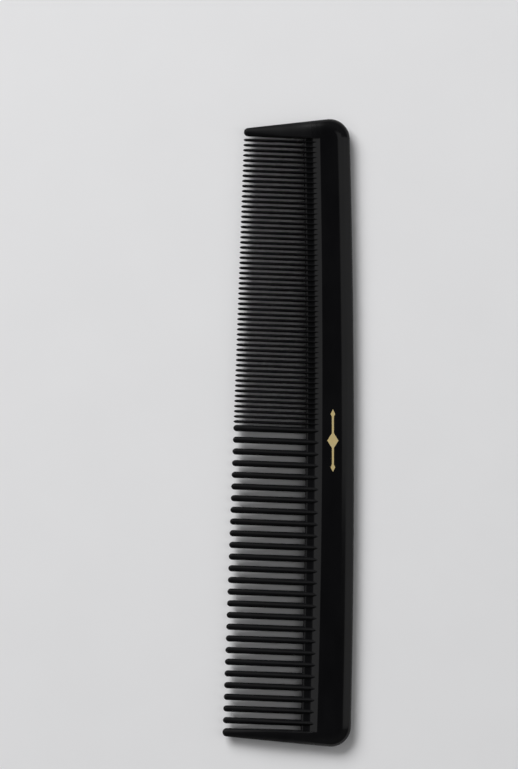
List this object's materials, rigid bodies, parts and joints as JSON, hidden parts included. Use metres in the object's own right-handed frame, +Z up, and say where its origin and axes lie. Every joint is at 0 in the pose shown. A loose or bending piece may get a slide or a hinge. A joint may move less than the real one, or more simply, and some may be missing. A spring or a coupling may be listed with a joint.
{
  "type": "hair comb",
  "caption": "Flat black dressing comb with a bowed back, coarse teeth on one half, fine teeth on the other, thick end guards and a small gold foil ornament.",
  "frame": {"origin": "middle of the footprint, on the surface that the comb lies on", "axes": "+X to the back edge, -X to the tooth tips, +Y along the length to the fine end, +Z up through the thickness"},
  "size_m": [0.04, 0.191, 0.0044],
  "materials": {
    "comb_plastic": "polished black moulding on the back, satin on the teeth",
    "gold_foil": "thin hot-stamped foil, soft metallic sheen"
  },
  "bodies": {
    "root": {"back": "comb_plastic", "coarse_end_guard": "comb_plastic", "fine_end_guard": "comb_plastic", "coarse_tooth_01": "comb_plastic", "coarse_tooth_02": "comb_plastic", "coarse_tooth_03": "comb_plastic", "coarse_tooth_04": "comb_plastic", "coarse_tooth_05": "comb_plastic", "coarse_tooth_06": "comb_plastic", "coarse_tooth_07": "comb_plastic", "coarse_tooth_08": "comb_plastic", "coarse_tooth_09": "comb_plastic", "coarse_tooth_10": "comb_plastic", "coarse_tooth_11": "comb_plastic", "coarse_tooth_12": "comb_plastic", "coarse_tooth_13": "comb_plastic", "coarse_tooth_14": "comb_plastic", "coarse_tooth_15": "comb_plastic", "coarse_tooth_16": "comb_plastic", "coarse_tooth_17": "comb_plastic", "coarse_tooth_18": "comb_plastic", "coarse_tooth_19": "comb_plastic", "coarse_tooth_20": "comb_plastic", "coarse_tooth_21": "comb_plastic", "coarse_tooth_22": "comb_plastic", "coarse_tooth_23": "comb_plastic", "coarse_tooth_24": "comb_plastic", "coarse_tooth_25": "comb_plastic", "coarse_tooth_26": "comb_plastic", "fine_teeth": "comb_plastic", "foil_mark": "gold_foil"}
  },
  "joints": []
}
